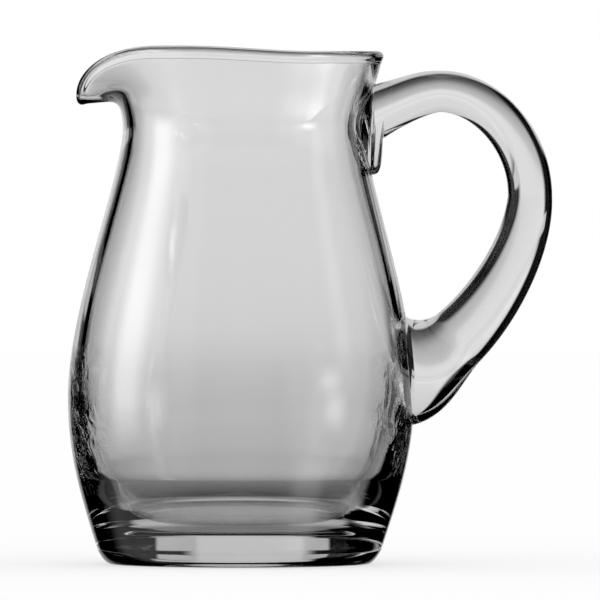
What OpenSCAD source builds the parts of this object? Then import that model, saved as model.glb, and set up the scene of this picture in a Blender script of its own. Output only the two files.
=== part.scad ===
// Glass pitcher: a blown vessel with a pulled spout, and a handle of drawn glass welded to its wall.
// Millimetres, +Z up. The origin is the middle of the resting face, on the axis of the vessel.
// The spout points to -X and the handle to +X.

/* [Vessel] */
// Height from the resting face to the top of the lip
height = 140; // [130:1:170]
// Diameter of the flat face that the pitcher stands on
foot_d = 69.6; // [60:0.2:72]
// Diameter of the wall where the rounded heel ends
heel_d = 76.7; // [74:0.1:84]
// Height of the rounded heel
heel_h = 3.8; // [3:0.1:8]
// Largest outer diameter, at the belly
belly_d = 93.6; // [86:0.2:110]
// Height of the largest diameter
belly_h = 45.7; // [40:0.1:56]
// Smallest outer diameter, at the neck
neck_d = 65.4; // [56:0.2:72]
// Height of the smallest diameter, where the lip and the spout start
neck_h = 117.6; // [108:0.2:122]
// Outer diameter of the lip
lip_d = 75.8; // [68:0.2:84]
// Glass thickness at the neck
neck_wall = 2.8; // [2:0.1:4]
// Glass thickness at the bottom of the bowl's side
bowl_wall = 6.3; // [4:0.1:9]
// Thickness of the rounded lip
lip_t = 3; // [2.4:0.1:4]

/* [Base] */
// Height at which the inner wall turns into the floor of the bowl
bowl_h = 24.4; // [20:0.2:34]
// Glass under the middle of the bowl
base_t = 9.1; // [6:0.1:14]

/* [Spout] */
// Angle by which the lip was bent out at the tip
spout_turn = 77; // [60:1:84]
// Length of the lip from the neck up to where it bends out
bend_from = 4.7; // [3:0.1:7]
// Length of the lip over which it bends
bend_over = 5; // [4:0.1:7]
// Angle on either side of the tip over which the lip is drawn out
spout_span = 52; // [40:1:64]

/* [Handle] */
// Thickness of the rod at the top of its arch, seen from the side
rod_t = 11.2; // [9:0.1:14]
// Thickness of the rod where it reaches furthest out
limb_t = 12; // [9:0.1:15]
// Width of the rod across the handle
rod_w = 14; // [10:0.1:18]
// Reach of the handle's outer face from the axis
handle_reach = 83.4; // [78:0.2:100]
// Height of the handle's top
handle_top = 133.1; // [126:0.1:140]
// Distance of the top of the arch from the axis
arch_x = 53; // [49:0.5:60]
// Height at which the handle reaches furthest out
limb_h = 99.4; // [90:0.2:108]

/* [Welds] */
// Height of the rod's upper line above the narrowest part of the neck
upper_weld_top = 127.5; // [124:0.1:132]
// Height of the rod's lower line there
upper_weld_low = 111.3; // [108:0.1:115]
// Width of the upper weld's patch of glass
upper_weld_w = 20; // [16:0.5:28]
// Rise of that patch above the rod's upper line
upper_weld_rise = 2; // [0:0.1:4]
// Height of the low end of the tongue that hangs below the rod there
tongue_low = 105; // [102:0.1:107]
// Thickness of that tongue, from the neck out
tongue_t = 4.8; // [3.6:0.1:6]
// Height of the middle of the lower weld
lower_weld_h = 53; // [46:0.2:60]
// Height of the lower weld's patch of glass
lower_weld_t = 32; // [22:0.5:35]
// Width of the lower weld's patch of glass
lower_weld_w = 22; // [14:0.5:28]

/* [Hidden] */
$fn = 96;

foot_r = foot_d / 2;
heel_r = heel_d / 2;
belly_r = belly_d / 2;
neck_r = neck_d / 2;
lip_r = lip_d / 2;

// Lean of the heel, of the wall above it, of the bowl and of the lip, in degrees from the vertical
heel_lean = 27.5;
wall_lean = 17.5;
bowl_lean = 25;
lip_lean = 16;
// How long the outline keeps its direction at each end of a curve, as a share of the curve's run
foot_hold = 0.3;
heel_hold = 0.57;
wall_hold = 0.33;
belly_hold = 0.4;
shoulder_hold = 0.33;
neck_hold = 0.14;
flare_hold = 0.15;
lip_hold = 0.45;
bowl_hold = 0.98;
floor_hold = 0.84;
// Share by which the lip gets shorter at the tip
spout_shrink = 0.23;
// Power of the pull round the tip, and the angle over which the tip is blunt
spout_power = 2.4;
spout_tip = 2;
// Power of the swell of the wall into the lip
lip_swell = 4;
// How strongly the wall thickens towards the base
wall_power = 4;
// Steps along the curves of the outline
heel_steps = 4;
wall_steps = 7;
shoulder_steps = 11;
bowl_steps = 8;
inner_steps = 13;

// Steps of the lip and the spout: up the wall, over the lip and round the vessel
collar_steps = 10;
bead_steps = 6;
round_steps = 72;
// How strongly those slices crowd at the tip
tip_crowd = 0.3;
// Step of the finite differences that give the wall's direction
small = 0.01;
// The collar sinks this far into the wall below it, and lies this far inside its faces
collar_sink = 2;
seam = 0.08;

// Steps along the upper weld, from there to the arch, over the arch and down the limb, and round the rod
weld_steps = 12;
upper_steps = 8;
arch_steps = 11;
limb_steps = 18;
rod_sides = 24;
// The handle starts and ends this far inside the vessel's outline
upper_weld_sink = 3;
lower_weld_sink = 3.5;
// How long the arch and the limb keep their directions, as shares of their runs
arch_hold = 0.5;
arch_drop_hold = 0.47;
limb_hold = 0.4;
weld_hold = 0.43;
// Powers of the rod's upper and lower line from the neck to the arch
upper_top_power = 2;
upper_low_power = 1.44;
// The upper weld's patch starts to narrow this far inside the neck's outline, and over this run
patch_in = 1.5;
patch_run = 4;
// Rounding of the tongue's end, and how narrow the tongue and the patch's rise are
tongue_round = 12;
tongue_power = 3;
rise_power = 2;
// Down the limb: share of the swell that is gradual, and where the lower weld starts to spread
limb_swell = 0.4;
spread_from = 0.66;
spread_over = 0.32;

glass_colour = [0.80, 0.83, 0.84];

// Curves
function mix(a, b, t) = a + (b - a) * t;
function unit(v) = v / norm(v);
function bezier(p, t) =
    let (u = 1 - t)
    p[0] * u * u * u + p[1] * 3 * u * u * t + p[2] * 3 * u * t * t + p[3] * t * t * t;
function ease(share) =
    let (t = min(1, max(0, share)))
    t * t * (3 - 2 * t);
function bezier_points(p, steps, first = 1) = [for (i = [first:steps]) bezier(p, i / steps)];

// Outline of the vessel from the edge of the foot up to the neck, as radius and height
heel_curve = [
    [foot_r, 0],
    [mix(foot_r, heel_r, foot_hold), 0],
    [heel_r - tan(heel_lean) * heel_h * heel_hold, heel_h * (1 - heel_hold)],
    [heel_r, heel_h]
];
wall_run = belly_h - heel_h;
wall_curve = [
    [heel_r, heel_h],
    [heel_r + tan(wall_lean) * wall_run * wall_hold, heel_h + wall_run * wall_hold],
    [belly_r, belly_h - wall_run * belly_hold],
    [belly_r, belly_h]
];
shoulder_run = neck_h - belly_h;
shoulder_curve = [
    [belly_r, belly_h],
    [belly_r, belly_h + shoulder_run * shoulder_hold],
    [neck_r, neck_h - shoulder_run * neck_hold],
    [neck_r, neck_h]
];
outer_points = concat(
    bezier_points(heel_curve, heel_steps, 0),
    bezier_points(wall_curve, wall_steps),
    bezier_points(shoulder_curve, shoulder_steps)
);

// Outline of the lip above the neck. The rounded top of the lip reaches the full height.
lip_h = height - lip_t / 2 * (1 + sin(lip_lean));
lip_run = lip_h - neck_h;
lip_curve = [
    [neck_r, neck_h],
    [neck_r, neck_h + lip_run * flare_hold],
    [lip_r - tan(lip_lean) * lip_run * lip_hold, lip_h - lip_run * lip_hold],
    [lip_r, lip_h]
];

// Radius of the vessel's outside at a height, and the thickness of its wall there
outside_table = [for (p = concat(outer_points, bezier_points(lip_curve, collar_steps))) [p[1], p[0]]];
function outside_r(z) = lookup(z, outside_table);
function wall_t(z) = neck_wall + (bowl_wall - neck_wall) * pow((neck_h - z) / (neck_h - bowl_h), wall_power);
function inside_r(z) = outside_r(z) - wall_t(z);

// Floor of the bowl, from the inner wall to the axis
bowl_r = inside_r(bowl_h);
bowl_run = bowl_h - base_t;
bowl_curve = [
    [bowl_r, bowl_h],
    [bowl_r - tan(bowl_lean) * bowl_run * bowl_hold, bowl_h - bowl_run * bowl_hold],
    [bowl_r * floor_hold, base_t],
    [0, base_t]
];
inner_points = [
    for (i = [0:inner_steps])
        let (z = mix(neck_h, bowl_h, i / inner_steps))
        [inside_r(z), z]
];

// A closed skin over rings of points. Each ring runs anticlockwise, seen from the next one.
module skin(rings, closed = false) {
    count = len(rings);
    sides = len(rings[0]);
    points = [for (ring = rings) each ring];
    walls = [
        for (i = [0:count - (closed ? 1 : 2)], j = [0:sides - 1])
            let (
                next = (i + 1) % count,
                k = (j + 1) % sides,
                a = i * sides + j,
                b = i * sides + k,
                c = next * sides + k,
                d = next * sides + j
            )
            each [[a, d, c], [a, c, b]]
    ];
    first_end = [for (j = [0:sides - 1]) j];
    last_end = [for (j = [sides - 1:-1:0]) (count - 1) * sides + j];
    polyhedron(points, closed ? walls : concat(walls, [first_end, last_end]));
}

// How far the lip was pulled at an angle round the axis, from 0 to 1 at the tip
function pull_at(angle) =
    let (
        away = abs(180 - (angle % 360 + 360) % 360),
        off = (norm([away, spout_tip]) - spout_tip) / spout_span
    )
    pow(max(0, 1 - off), spout_power);

// The lip's outside as it was blown, step by step: length, lean and distance along the lip
lip_points = bezier_points(lip_curve, collar_steps, 0);
lip_steps = [for (i = [0:collar_steps - 1]) lip_points[i + 1] - lip_points[i]];
lip_lengths = [for (step = lip_steps) norm(step)];
lip_leans = [for (step = lip_steps) atan2(step[0], step[1])];
lip_middles = [
    for (i = 0, along = 0; i < collar_steps; along = along + lip_lengths[i], i = i + 1)
        along + lip_lengths[i] / 2
];

// The same line where the lip was pulled: bent out above the neck and a little shorter
function pulled_step(i, pull) =
    i == collar_steps
        ? [0, 0]
        : let (
            left = 1 - spout_shrink * pull,
            lean = lip_leans[i] + spout_turn * pull * ease((lip_middles[i] * left - bend_from) / bend_over)
        )
        lip_lengths[i] * left * [sin(lean), cos(lean)];
function pulled_line(pull) = [
    for (
        i = 0, point = [neck_r - seam, neck_h];
        i <= collar_steps;
        point = point + pulled_step(i, pull), i = i + 1
    )
        point
];

// One upright slice of the collar: up the outside, over the lip and down the inside
function collar_slice(angle) =
    let (
        line = pulled_line(pull_at(angle)),
        ups = [
            for (i = [0:collar_steps])
                unit(line[min(i + 1, collar_steps)] - line[max(i - 1, 0)])
        ],
        outs = [for (up = ups) [up[1], -up[0]]],
        inside = [
            for (i = [collar_steps:-1:0])
                line[i] - mix(neck_wall - 2 * seam, lip_t, pow(i / collar_steps, lip_swell)) * outs[i]
        ],
        middle = line[collar_steps] - lip_t / 2 * outs[collar_steps],
        bead = [
            for (i = [1:bead_steps - 1])
                let (turn = 180 * i / bead_steps)
                middle + lip_t / 2 * (cos(turn) * outs[collar_steps] + sin(turn) * ups[collar_steps])
        ],
        sink = [0, -collar_sink],
        section = concat([line[0] + sink], line, bead, inside, [inside[collar_steps] + sink])
    )
    [for (p = section) [p[0] * cos(angle), p[0] * sin(angle), p[1]]];
function slice_angle(i) =
    let (angle = -360 * i / round_steps)
    angle - tip_crowd * 90 / PI * sin(2 * angle);

// Solid of the vessel's outside up to the lip, which the handle seats on
module outline_solid() {
    rotate_extrude()
        polygon(concat([[0, 0]], outer_points, bezier_points(lip_curve, collar_steps), [[0, lip_h]]));
}

module vessel() {
    color(glass_colour) {
        rotate_extrude()
            polygon(concat(
                [[0, 0]],
                outer_points,
                inner_points,
                bezier_points(bowl_curve, bowl_steps)
            ));
        skin([for (i = [0:round_steps - 1]) collar_slice(slice_angle(i))], closed = true);
    }
}

// Middle line of the handle over the arch and down to the belly
arch_h = handle_top - rod_t / 2;
limb_x = handle_reach - limb_t / 2;
lower_end = [outside_r(lower_weld_h) - lower_weld_sink, lower_weld_h];
arch_curve = [
    [arch_x, arch_h],
    [mix(arch_x, limb_x, arch_hold), arch_h],
    [limb_x, mix(limb_h, arch_h, 1 - arch_drop_hold)],
    [limb_x, limb_h]
];
limb_curve = [
    [limb_x, limb_h],
    [limb_x, mix(limb_h, lower_weld_h, limb_hold)],
    [mix(lower_end[0], limb_x, weld_hold), lower_weld_h],
    lower_end
];

// From the neck to the arch: the rod's upper and lower line, and its half width as it spreads on the wall
weld_x = neck_r - upper_weld_sink;
tongue_x = neck_r + tongue_t;
arch_low = handle_top - rod_t;
function upper_run(x) = (arch_x - x) / (arch_x - neck_r);
function upper_top(x) = handle_top - (handle_top - upper_weld_top) * pow(upper_run(x), upper_top_power);
function upper_low(x) = arch_low - (arch_low - upper_weld_low) * pow(upper_run(x), upper_low_power);
function patch_share(x) = 1 - ease((x - neck_r + patch_in) / patch_run);
function upper_half_w(x) = mix(rod_w, upper_weld_w, patch_share(x)) / 2;
function tongue_drop(x) =
    let (share = min(1, (x - weld_x) / (tongue_x - weld_x)))
    (upper_low(x) - tongue_low) * sqrt(1 - pow(share, tongue_round));

// One ring of the rod, at a point of its middle line and square to a direction. The tongue hangs below it, and
// the patch rises above it.
function rod_ring(point, along, half_t, half_w, drop = 0, rise = 0) =
    let (across = [-along[1], along[0]] / norm(along))
    [
        for (j = [0:rod_sides - 1])
            let (
                turn = 360 * j / rod_sides,
                place = point + across * half_t * sin(turn),
                hang = drop * pow(max(0, -sin(turn)), tongue_power),
                lift = rise * pow(max(0, sin(turn)), rise_power)
            )
            [place[0], -half_w * cos(turn), place[1] + lift - hang]
    ];
function curve_along(p, t) = bezier(p, t + small) - bezier(p, t - small);
function upper_ring(x) =
    rod_ring(
        [x, (upper_top(x) + upper_low(x)) / 2],
        [1, 0],
        (upper_top(x) - upper_low(x)) / 2,
        upper_half_w(x),
        tongue_drop(x),
        upper_weld_rise * patch_share(x)
    );

// The upper weld spreads over the neck as a patch with a tongue, whose end is rounded
weld_rings = [for (i = [0:weld_steps]) upper_ring(mix(weld_x, tongue_x, i / weld_steps))];
upper_rings = [for (i = [1:upper_steps - 1]) upper_ring(mix(tongue_x, arch_x, i / upper_steps))];
arch_rings = [
    for (i = [0:arch_steps - 1])
        let (t = i / arch_steps)
        rod_ring(bezier(arch_curve, t), curve_along(arch_curve, t), mix(rod_t, limb_t, t) / 2, rod_w / 2)
];

// The rod swells down the limb, and spreads into the lower weld at its end
limb_rings = [
    for (i = [0:limb_steps])
        let (
            t = i / limb_steps,
            spread = ease((t - spread_from) / spread_over),
            swell = limb_swell * t + (1 - limb_swell) * spread,
            half_t = mix(limb_t, lower_weld_t, swell) / 2,
            half_w = mix(rod_w, lower_weld_w, swell) / 2
        )
        rod_ring(bezier(limb_curve, t), curve_along(limb_curve, t), half_t, half_w)
];

module handle() {
    color(glass_colour)
        difference() {
            skin(concat(weld_rings, upper_rings, arch_rings, limb_rings));
            outline_solid();
        }
}

vessel();
handle();
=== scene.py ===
# %% [markdown]
# # A clear glass pitcher
# The pitcher has two pieces of the same glass: a blown vessel with a pulled spout, and a drawn rod that was
# welded on hot as its handle. This lesson builds both from the curves that a glassmaker would draw, cuts
# the handle to the wall, gives them a clear glass, and photographs them in a small white studio.
#
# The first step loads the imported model. It fixes the place and the size of everything that follows. Blender
# works in metres here, and the values of this script are in millimetres unless they say otherwise.

# %% Load the frame
import math

import bmesh
import bpy
import numpy as np
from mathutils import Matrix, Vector


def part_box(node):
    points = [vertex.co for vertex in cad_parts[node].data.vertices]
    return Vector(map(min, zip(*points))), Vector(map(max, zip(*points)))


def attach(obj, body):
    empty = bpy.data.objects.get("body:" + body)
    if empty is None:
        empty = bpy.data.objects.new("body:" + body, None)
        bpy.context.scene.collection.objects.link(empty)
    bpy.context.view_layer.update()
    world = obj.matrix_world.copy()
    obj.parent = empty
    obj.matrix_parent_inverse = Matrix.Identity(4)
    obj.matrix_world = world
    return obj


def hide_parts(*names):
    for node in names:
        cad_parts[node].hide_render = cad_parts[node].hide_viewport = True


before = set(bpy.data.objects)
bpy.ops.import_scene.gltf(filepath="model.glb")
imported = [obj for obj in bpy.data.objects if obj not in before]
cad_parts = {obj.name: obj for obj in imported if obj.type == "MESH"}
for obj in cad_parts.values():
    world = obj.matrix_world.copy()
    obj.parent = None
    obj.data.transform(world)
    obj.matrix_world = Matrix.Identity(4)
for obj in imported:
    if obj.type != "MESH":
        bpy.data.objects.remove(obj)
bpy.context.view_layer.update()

MM = 0.001
vessel_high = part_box("vessel")[1]
handle_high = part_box("handle")[1]
height = vessel_high.z / MM
belly_r = vessel_high.y / MM
handle_reach = handle_high.x / MM
print(f"vessel {height:.1f} mm high, belly {2 * belly_r:.1f} mm wide, handle out to {handle_reach:.1f} mm")

# %% [markdown]
# ## Curves
# A blown outline has no straight line and no true arc. A spline through many measured points would wobble,
# and arcs would show their joints in the reflections. So each stretch of the outline is one cubic curve: it
# leaves and arrives in given directions, and two points between its ends say for how long it keeps them.

# %% Curves
def mix(a, b, t):
    return a + (b - a) * t


def ease(t):
    """Goes from 0 to 1 with a soft start and a soft end."""
    t = np.clip(t, 0, 1)
    return t * t * (3 - 2 * t)


def curve(points, steps, crowd=1):
    """Points along a cubic curve, the first one left out. A crowd above 1 draws them to its end."""
    p = np.array(points, float)
    t = 1 - np.linspace(1, 0, steps + 1)[1:, None] ** crowd
    u = 1 - t
    return p[0] * u**3 + 3 * p[1] * u * u * t + 3 * p[2] * u * t * t + p[3] * t**3


def directions(line):
    """Unit direction of a line at each of its points."""
    d = np.gradient(line, axis=0)
    return d / np.linalg.norm(d, axis=1)[:, None]


print("each stretch of the outline is a cubic curve of radius and height")

# %% [markdown]
# ## Outside of the vessel
# On the real pitcher a flat foot turns up round the heel into the belly, and the belly draws in to the neck
# and flares to the lip. A lathe profile drawn by hand would do. Here each stretch is worked out from the
# heights and radii of the object, and the holds below say which share of a stretch keeps the direction of
# its end.

# %% Outside line
foot_r = 34.8
heel_r = 38.35
heel_h = 3.8
heel_lean = math.radians(27.5)
heel_hold = 0.3, 0.57
belly_h = 45.7
wall_lean = math.radians(17.5)
wall_hold = 0.33, 0.4
neck_r = 32.7
neck_h = 117.6
shoulder_hold = 0.33, 0.18
lip_r = 37.9
lip_t = 3
lip_lean = math.radians(16)
lip_hold = 0.28, 0.42

heel_curve = [
    (foot_r, 0),
    (mix(foot_r, heel_r, heel_hold[0]), 0),
    (heel_r - math.tan(heel_lean) * heel_h * heel_hold[1], heel_h * (1 - heel_hold[1])),
    (heel_r, heel_h),
]
wall_run = belly_h - heel_h
wall_curve = [
    (heel_r, heel_h),
    (heel_r + math.tan(wall_lean) * wall_run * wall_hold[0], heel_h + wall_run * wall_hold[0]),
    (belly_r, belly_h - wall_run * wall_hold[1]),
    (belly_r, belly_h),
]
shoulder_run = neck_h - belly_h
shoulder_curve = [
    (belly_r, belly_h),
    (belly_r, belly_h + shoulder_run * shoulder_hold[0]),
    (neck_r, neck_h - shoulder_run * shoulder_hold[1]),
    (neck_r, neck_h),
]
lip_h = height - lip_t / 2 * (1 + math.sin(lip_lean))
lip_run = lip_h - neck_h
lip_curve = [
    (neck_r, neck_h),
    (neck_r, neck_h + lip_run * lip_hold[0]),
    (lip_r - math.tan(lip_lean) * lip_run * lip_hold[1], lip_h - lip_run * lip_hold[1]),
    (lip_r, lip_h),
]

foot_points = 9
heel_steps = 16
wall_steps = 36
shoulder_steps = 56
fine_steps = 400
foot_line = np.array([(r, 0.0) for r in np.linspace(0, foot_r, foot_points)])
outside = np.vstack([
    foot_line,
    curve(heel_curve, heel_steps),
    curve(wall_curve, wall_steps),
    curve(shoulder_curve, shoulder_steps),
])
outside_curves = heel_curve, wall_curve, shoulder_curve, lip_curve
fine_outside = np.vstack([curve(c, fine_steps) for c in outside_curves])


def outside_r(z):
    """Radius of the outer wall at a height."""
    return np.interp(z, fine_outside[:, 1], fine_outside[:, 0])


print(f"outside of {len(outside)} points up to the neck, {2 * neck_r:.1f} mm wide there")

# %% [markdown]
# ## Inside of the vessel
# The wall of a blown pitcher thickens towards its base. A Solidify modifier could do that with painted
# weights, but a line of its own is simpler: the outside less a thickness that grows downwards. At the
# bottom it turns in a round corner to the flat floor of the bowl. That floor works as a mirror, and shows
# the pale patch in the base.

# %% Inside line
neck_wall = 2.8
bowl_wall = 6.3
wall_power = 4
bowl_h = 24.4
bowl_lean = math.radians(25)
bowl_hold = 0.6
base_t = 9.8
corner_r = 31.5
floor_r = 26
inner_points = 61
bowl_steps = 36
floor_steps = 12


def inside_r(z):
    """Radius of the inner wall, up to the neck."""
    depth = (neck_h - z) / (neck_h - bowl_h)
    return outside_r(z) - neck_wall - (bowl_wall - neck_wall) * depth**wall_power


inner_z = np.linspace(neck_h, bowl_h, inner_points)
inner_wall = np.column_stack([inside_r(inner_z), inner_z])
bowl_r = inside_r(bowl_h)
bowl_run = bowl_h - base_t
bowl_curve = [
    (bowl_r, bowl_h),
    (bowl_r - math.tan(bowl_lean) * bowl_run * bowl_hold, bowl_h - bowl_run * bowl_hold),
    (corner_r, base_t),
    (floor_r, base_t),
]
bowl_floor = np.array([(r, base_t) for r in np.linspace(floor_r, 0, floor_steps + 1)[1:]])
inside = np.vstack([inner_wall, curve(bowl_curve, bowl_steps), bowl_floor])
print(f"wall {neck_wall} mm at the neck and {bowl_wall} mm at the bowl, base {base_t} mm")

# %% [markdown]
# ## Lip and spout
# The lip is rounded by the flame, a little thicker than the wall below it. While it was soft, a tool pulled
# it outwards and down to make the spout. Scaling the lip outwards would thin the wall and leave no throat.
# So the lip's line is bent as a strip of hot glass bends: its lean grows along it, and it gets a little
# shorter. The result is a family of sections, from the plain lip to the fully pulled one.

# %% Sections of the lip
lip_wall = 2.5
bead_run = 1
bead_steps = 14
lip_steps = 40
lip_crowd = 1.5
spout_turn = math.radians(77)
spout_shrink = 0.23
bend_low = 4.3
bend_high = 9.7
pulls = 33


def pulled(line, pull):
    """The outer line of the lip, bent outwards and shortened as far as the tool pulled it."""
    step = np.diff(line, axis=0)
    length = np.linalg.norm(step, axis=1) * (1 - spout_shrink * pull)
    along = np.cumsum(length) - length / 2
    lean = np.arctan2(step[:, 0], step[:, 1])
    lean += spout_turn * pull * ease((along - bend_low) / (bend_high - bend_low))
    step = length[:, None] * np.column_stack([np.sin(lean), np.cos(lean)])
    return line[0] + np.cumsum(step, axis=0)


def lip_section(outer):
    """From the neck up the outside, over the rounded lip and down the inside again."""
    line = np.vstack([(neck_r, neck_h), outer])
    along = directions(line)[1:]
    out = np.column_stack([along[:, 1], -along[:, 0]])
    length = np.cumsum(np.linalg.norm(np.diff(line, axis=0), axis=1))
    swell = (lip_t - lip_wall) * np.exp(-(((length[-1] - length) / bead_run) ** 2))
    thick = mix(neck_wall, lip_wall, length / length[-1]) + swell
    outer = outer + swell[:, None] / 2 * out
    inner = outer - thick[:, None] * out
    turn = np.linspace(0, math.pi, bead_steps + 1)[1:-1, None]
    middle = outer[-1] - lip_t / 2 * out[-1]
    bead = middle + lip_t / 2 * (np.cos(turn) * out[-1] + np.sin(turn) * along[-1])
    return np.vstack([outer, bead, inner[::-1]])


lip_line = np.vstack([(neck_r, neck_h), curve(lip_curve, lip_steps, lip_crowd)])
family = []
for pull in np.linspace(0, 1, pulls):
    family.append(np.vstack([outside, lip_section(pulled(lip_line, pull)), inside]))
section_points = len(family[0])
print(f"{pulls} sections of {section_points} points each")

# %% [markdown]
# ## From a line to a mesh
# Both pieces are made in the same way: a line of points goes into a Geometry Nodes tree, and the tree lays
# a grid over it, one side along the line and one round it. The tree moves each point of the grid to its
# place, merges the seam and the poles, and gives the mesh its material. Curve to Mesh could sweep a section
# too, but it can only scale the section on the way. The functions below make the source line, start and end
# such a tree, and turn its result into a plain mesh.

# %% Functions for the trees
def add(tree, kind, inputs=(), **settings):
    """Adds a node with its settings. An input takes a value, or a link from another node's socket."""
    node = tree.nodes.new(kind)
    for name, value in settings.items():
        setattr(node, name, value)
    for key, value in dict(inputs).items():
        if isinstance(value, bpy.types.NodeSocket):
            tree.links.new(value, node.inputs[key])
        else:
            node.inputs[key].default_value = value
    return node


def line_mesh(name, points_mm, vectors=None, numbers=None):
    """A line of points in the XZ plane, with attributes that the node trees read."""
    mesh = bpy.data.meshes.new(name)
    points = [(r * MM, 0, z * MM) for r, z in points_mm]
    mesh.from_pydata(points, [(i, i + 1) for i in range(len(points) - 1)], [])
    for key, values in (vectors or {}).items():
        flat = [c for r, z in values for c in (r * MM, 0, z * MM)]
        mesh.attributes.new(key, "FLOAT_VECTOR", "POINT").data.foreach_set("vector", flat)
    for key, values in (numbers or {}).items():
        mesh.attributes.new(key, "FLOAT", "POINT").data.foreach_set("value", list(values))
    return bpy.data.objects.new(name, mesh)


def new_tree(name, inputs):
    """A geometry tree with named inputs. Each is a socket type and a default value."""
    tree = bpy.data.node_groups.new(name, "GeometryNodeTree")
    tree.interface.new_socket("Geometry", in_out="INPUT", socket_type="NodeSocketGeometry")
    tree.interface.new_socket("Geometry", in_out="OUTPUT", socket_type="NodeSocketGeometry")
    for label, (kind, value) in inputs.items():
        socket = tree.interface.new_socket(label, in_out="INPUT", socket_type=kind)
        if value is not None:
            socket.default_value = value
    return tree


def section_grid(tree, columns, around, crowd):
    """A grid with one column per point of the line. Returns it, its column and its turn in radians. A crowd
    above 0 draws the rows together at half a turn and at a full one, where the spout and the handle are."""
    rows = add(tree, "ShaderNodeMath", {0: around, 1: 1}, operation="ADD")
    grid = add(tree, "GeometryNodeMeshGrid", {
        "Size X": 1, "Size Y": 1, "Vertices X": columns, "Vertices Y": rows.outputs[0],
    })
    place = add(tree, "ShaderNodeSeparateXYZ", {0: add(tree, "GeometryNodeInputPosition").outputs[0]})
    last = add(tree, "ShaderNodeMath", {0: columns, 1: 1}, operation="SUBTRACT")
    share = add(tree, "ShaderNodeMath", {0: place.outputs["X"], 1: 0.5}, operation="ADD")
    column = add(tree, "ShaderNodeMath", {0: share.outputs[0], 1: last.outputs[0]}, operation="MULTIPLY")
    column = add(tree, "ShaderNodeMath", {0: column.outputs[0]}, operation="ROUND")
    turn = add(tree, "ShaderNodeMath", {0: place.outputs["Y"], 1: 0.5}, operation="ADD")
    turn = add(tree, "ShaderNodeMath", {0: turn.outputs[0], 1: 2 * math.pi}, operation="MULTIPLY")
    twice = add(tree, "ShaderNodeMath", {0: turn.outputs[0], 1: 2}, operation="MULTIPLY")
    swing = add(tree, "ShaderNodeMath", {0: twice.outputs[0]}, operation="SINE")
    turn = add(tree, "ShaderNodeMath", {
        0: swing.outputs[0], 1: -crowd / 2, 2: turn.outputs[0],
    }, operation="MULTIPLY_ADD")
    return grid.outputs["Mesh"], column.outputs[0], turn.outputs[0]


def close_tree(tree, mesh, position, material):
    """Moves the grid's points to their place, closes its seam and poles, and ends the tree."""
    moved = add(tree, "GeometryNodeSetPosition", {"Geometry": mesh, "Position": position})
    merged = add(tree, "GeometryNodeMergeByDistance", {"Geometry": moved.outputs[0], "Distance": 1e-7})
    smooth = add(tree, "GeometryNodeSetShadeSmooth", {"Geometry": merged.outputs[0]})
    real = add(tree, "GeometryNodeRealizeInstances", {"Geometry": smooth.outputs[0]})
    finish = add(tree, "GeometryNodeSetMaterial", {"Geometry": real.outputs[0], "Material": material})
    add(tree, "NodeGroupOutput", {"Geometry": finish.outputs[0]})


def made_by(tree, source, name, **values):
    """Runs a tree on a source object and returns the result as a plain mesh object at the origin."""
    bpy.context.scene.collection.objects.link(source)
    modifier = source.modifiers.new(name, "NODES")
    modifier.node_group = tree
    sockets = {s.name: s.identifier for s in tree.interface.items_tree if s.in_out == "INPUT"}
    for label, value in values.items():
        modifier[sockets[label.replace("_", " ")]] = value
    evaluated = source.evaluated_get(bpy.context.evaluated_depsgraph_get())
    mesh = bpy.data.meshes.new_from_object(evaluated)
    source.modifiers.clear()
    bpy.data.objects.remove(source)
    mesh.name = name
    piece = bpy.data.objects.new(name, mesh)
    bpy.context.scene.collection.objects.link(piece)
    print(f"{name}: {len(mesh.vertices)} points, {len(mesh.polygons)} faces")
    return piece


glass = bpy.data.materials.new("clear_blown_soda_glass")
cut_mark = bpy.data.materials.new("cut_mark")
print("both pieces get one clear glass, and the handle wears a mark until it is cut")

# %% [markdown]
# ## Turning the sections, and pulling the spout
# The vessel is a lathe of Geometry Nodes. All sections of the family lie in one line of points, one after
# the other. At each turn the tree works out how far the tool pulled the lip there, takes the two sections
# on either side of that pull, and puts the point between them. A Screw modifier could turn one section, but
# it couldn't pull the spout.

# %% Vessel
around = 256
spout_crowd = 0.5
just_over_one = 1.001
lathe = new_tree("lathe_with_spout", {
    "Around": ("NodeSocketInt", around),
    "Section points": ("NodeSocketInt", section_points),
    "Sections": ("NodeSocketInt", pulls),
    "Spout span": ("NodeSocketFloat", math.radians(52)),
    "Spout power": ("NodeSocketFloat", 2.4),
    "Spout tip": ("NodeSocketFloat", math.radians(2)),
    "Material": ("NodeSocketMaterial", None),
})
given = add(lathe, "NodeGroupInput").outputs
grid, column, turn = section_grid(lathe, given["Section points"], given["Around"], spout_crowd)
here = add(lathe, "GeometryNodeInputPosition").outputs[0]

# How far the lip was pulled at each turn: all the way at the tip, and less and less to its sides
away = add(lathe, "ShaderNodeMath", {0: turn, 1: math.pi}, operation="SUBTRACT")
blunt = add(lathe, "ShaderNodeCombineXYZ", {"X": away.outputs[0], "Y": given["Spout tip"]})
blunt = add(lathe, "ShaderNodeVectorMath", {0: blunt.outputs[0]}, operation="LENGTH")
off = add(lathe, "ShaderNodeMath", {0: blunt.outputs["Value"], 1: given["Spout tip"]}, operation="SUBTRACT")
off = add(lathe, "ShaderNodeMath", {0: off.outputs[0], 1: given["Spout span"]}, operation="DIVIDE")
left = add(lathe, "ShaderNodeMath", {0: 1, 1: off.outputs[0]}, operation="SUBTRACT", use_clamp=True)
pull = add(lathe, "ShaderNodeMath", {0: left.outputs[0], 1: given["Spout power"]}, operation="POWER")

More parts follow.
